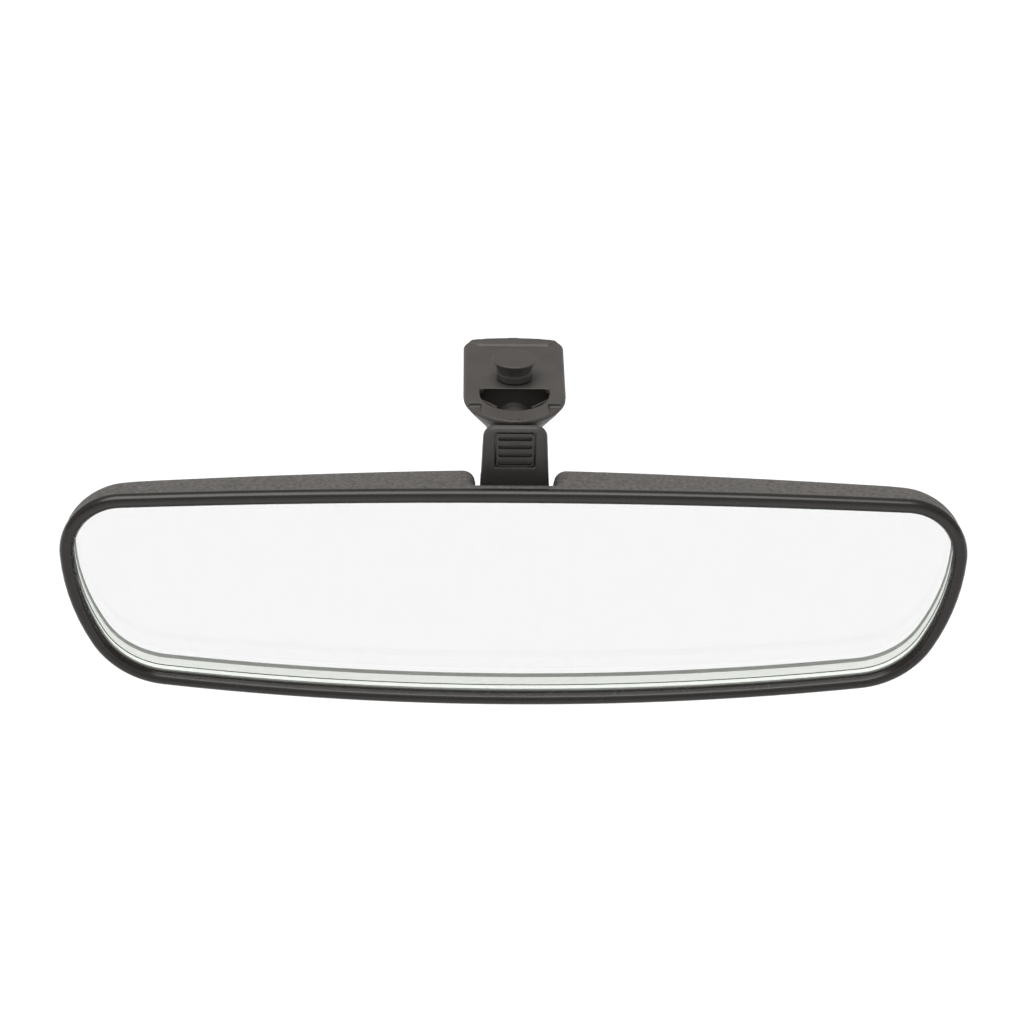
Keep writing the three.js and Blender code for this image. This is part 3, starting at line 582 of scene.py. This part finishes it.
def notch_profile():
    """The neck's way into the housing, with rounded lower corners."""
    top = HEAD_TOP / MM + 8  # clear above the housing
    inner = NOTCH_HALF - NOTCH_CORNER
    lower = NOTCH_FLOOR + NOTCH_CORNER
    points = [(-NOTCH_HALF, top)]
    points += arc_points((-inner, lower), NOTCH_CORNER, 180, 270)
    points += arc_points((inner, lower), NOTCH_CORNER, 270, 360)
    points.append((NOTCH_HALF, top))
    return [(x * MM, z * MM) for x, z in points]


def slab(x0, x1, y0, y1, z0, z1):
    """A block, its sides given in millimetres."""
    profile = [(x0, z0), (x1, z0), (x1, z1), (x0, z1)]
    return prism("slab", [(x * MM, z * MM) for x, z in profile], y0 * MM, y1 * MM)


def lever_slot():
    """The flip lever's way out under the housing."""
    return slab(
        -LEVER_SLOT_HALF, LEVER_SLOT_HALF,
        LEVER_PIN_Y - LEVER_SLOT_REACH, LEVER_PIN_Y + LEVER_SLOT_REACH,
        LEVER_SLOT_BOTTOM, LEVER_PIN_Z + LEVER_SLOT_TOP,
    )


def housing_back():
    """The domed shell behind the glass, with its notch for the neck and its slot for the lever."""
    outer = shell_rings(0)
    inner = shell_rings(HOUSING_WALL)
    mesh = ring_mesh("housing_back", [*reversed(outer), *inner], looped=False)
    piece = new_piece("housing_back", mesh, "head", HOUSING_MATERIAL)
    beyond_back = HOUSING_BACK + 5 * MM
    cut(piece, prism("notch", notch_profile(), HEAD_FRONT + NOTCH_FRONT * MM, beyond_back))
    cut(piece, lever_slot())
    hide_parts("housing")


WEB_SHORTER = 0.5  # at each of the tongue's ends
WEB_DEPTHS = (0.22, 1.2)  # of its front and back behind the tongue's front
WEB_DROPS = (0.12, 0.45)  # of its top and bottom below the tongue's lower edge
EAR_INNER = 6.6  # from the middle plane
EAR_OUTER = 8.8


def hinge_web():
    """The thin strip of the neck that the tongue's lower edge hangs on."""
    half = (TONGUE_HIGH.x - TONGUE_LOW.x) / 2 / MM - WEB_SHORTER
    front, low = TONGUE_LOW.y / MM, TONGUE_LOW.z / MM
    near, far = WEB_DEPTHS
    top, bottom = WEB_DROPS
    mesh = slab(-half, half, front + near, front + far, low - bottom, low - top)
    web = new_piece("tongue_hinge_web", mesh, "neck", NECK_MATERIAL)
    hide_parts("neck_shell")


def lever_ears():
    """The two lugs inside the housing that carry the lever's pin, their feet in its wall."""
    profile = [(-4, 3), (-4, -5), (2, -2.2), (2, 3)]  # round the pin, in y and z
    places = (("lever_ear_left", -EAR_OUTER, -EAR_INNER), ("lever_ear_right", EAR_INNER, EAR_OUTER))
    for name, x0, x1 in places:
        sides = [
            [Vector((x, LEVER_PIN_Y + y, LEVER_PIN_Z + z)) * MM for y, z in profile]
            for x in (x0, x1)
        ]
        mesh = ring_mesh(name, sides, looped=False)
        ear = new_piece(name, mesh, "head", HOUSING_MATERIAL, smooth=False)
        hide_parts("housing")


bezel_frame()
mirror_pane()
silver_back()
housing_back()
lever_ears()

# ---------------------------------------------------------------- neck and foot
NECK_FINISH = ("black_plastic", NECK_MATERIAL)
FOOT_FINISH = ("foot_plastic", FOOT_MATERIAL)
rounded_copy("neck_casing", "neck_shell", "neck", *NECK_FINISH, voxel=0.22, passes=6)
hinge_web()
rounded_copy("neck_clamp", "socket_clamp", "neck", *NECK_FINISH, voxel=0.22, passes=5)
rounded_copy("thumb_tongue", "release_tongue", "tongue", *NECK_FINISH, voxel=0.12, passes=4)
rounded_copy("foot_casing", "foot_shell", "foot", *FOOT_FINISH, voxel=0.25, passes=5)
rounded_copy("stud_knob", "mounting_stud", "foot", *FOOT_FINISH, voxel=0.16, passes=5)
rounded_copy("flip_lever", "day_night_lever", "lever", *NECK_FINISH, voxel=0.2, passes=4)

# ---------------------------------------------------------------- carried-over CAD nodes
# What isn't listed is steel, or is hidden by the piece that replaces it.
CARRIED_MATERIALS = {
    "ball_seat_ring": SEAT_MATERIAL,
    "ball_seat_cup": SEAT_MATERIAL,
    "backing_pad": FOAM_MATERIAL,
}
for node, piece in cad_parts.items():
    piece.data.materials.clear()
    piece.data.materials.append(CARRIED_MATERIALS.get(node, STEEL_MATERIAL))

# ---------------------------------------------------------------- studio
FLOOR_Z = -0.3
FLOOR_HALF = 5
ROOM_LIGHT = 0.4
# The lamps: where each shines from, its strength, and how many degrees of the sky it fills.
LAMPS = {
    "overhead": ((-0.15, -0.1, 1), 2.6, 50),
    "front_fill": ((0.1, -1, 0.35), 0.15, 60),
}


def floor():
    """A wide, pale, matt floor."""
    mesh = bpy.data.meshes.new("floor")
    half = FLOOR_HALF
    corners = [(-half, -half), (half, -half), (half, half), (-half, half)]
    mesh.from_pydata([(x, y, FLOOR_Z) for x, y in corners], [], [(0, 1, 2, 3)])
    piece = bpy.data.objects.new("floor", mesh)
    bpy.context.scene.collection.objects.link(piece)
    nodes = Nodes("floor_paint")
    nodes.shader.inputs["Base Color"].default_value = (0.93, 0.93, 0.93, 1)
    nodes.shader.inputs["Roughness"].default_value = 0.9
    mesh.materials.append(nodes.material)


def lamp(name, shines_from, strength, spread):
    """One soft light, far away in a direction."""
    light = bpy.data.lights.new(name, "SUN")
    light.energy = strength
    light.angle = math.radians(spread)
    piece = bpy.data.objects.new(name, light)
    piece.rotation_mode = "QUATERNION"
    piece.rotation_quaternion = Vector(shines_from).to_track_quat("Z", "Y")
    bpy.context.scene.collection.objects.link(piece)


def studio():
    """Wide soft lights from above and from the front, in a dim white room."""
    world = bpy.data.worlds.new("studio")
    world.use_nodes = True
    background = world.node_tree.nodes["Background"]
    background.inputs["Color"].default_value = (1, 1, 1, 1)
    background.inputs["Strength"].default_value = ROOM_LIGHT
    bpy.context.scene.world = world
    for name, settings in LAMPS.items():
        lamp(name, *settings)
    bpy.context.scene.view_settings.view_transform = "Standard"


floor()
studio()

# ---------------------------------------------------------------- camera
AZIMUTH = math.radians(-1)
ELEVATION = math.radians(29)
ROLL = math.radians(0.8)
DISTANCE = 0.9  # from the middle of the head's front
LENS = 119.1
SENSOR = 36
AIM = (-0.0008, 0.0238)  # what the camera looks at, to the right of that middle and above it


def camera():
    """A long lens in front of the head and above it, turned a little on its own axis."""
    data = bpy.data.cameras.new("camera")
    data.sensor_width = SENSOR
    data.lens = LENS
    data.clip_start = 0.01
    data.clip_end = 50
    eye = bpy.data.objects.new("camera", data)
    bpy.context.scene.collection.objects.link(eye)
    head = Vector((0, HEAD_FRONT, HEAD_MIDDLE))
    level = math.cos(ELEVATION)
    back = Vector((math.sin(AZIMUTH) * level, -math.cos(AZIMUTH) * level, math.sin(ELEVATION)))
    right = Vector((math.cos(AZIMUTH), math.sin(AZIMUTH), 0))
    up = back.cross(right)
    eye.location = head + back * DISTANCE
    look = (head + right * AIM[0] + up * AIM[1] - eye.location).to_track_quat("-Z", "Y")
    eye.rotation_mode = "QUATERNION"
    eye.rotation_quaternion = look @ Quaternion((0, 0, 1), ROLL)
    bpy.context.scene.camera = eye


camera()
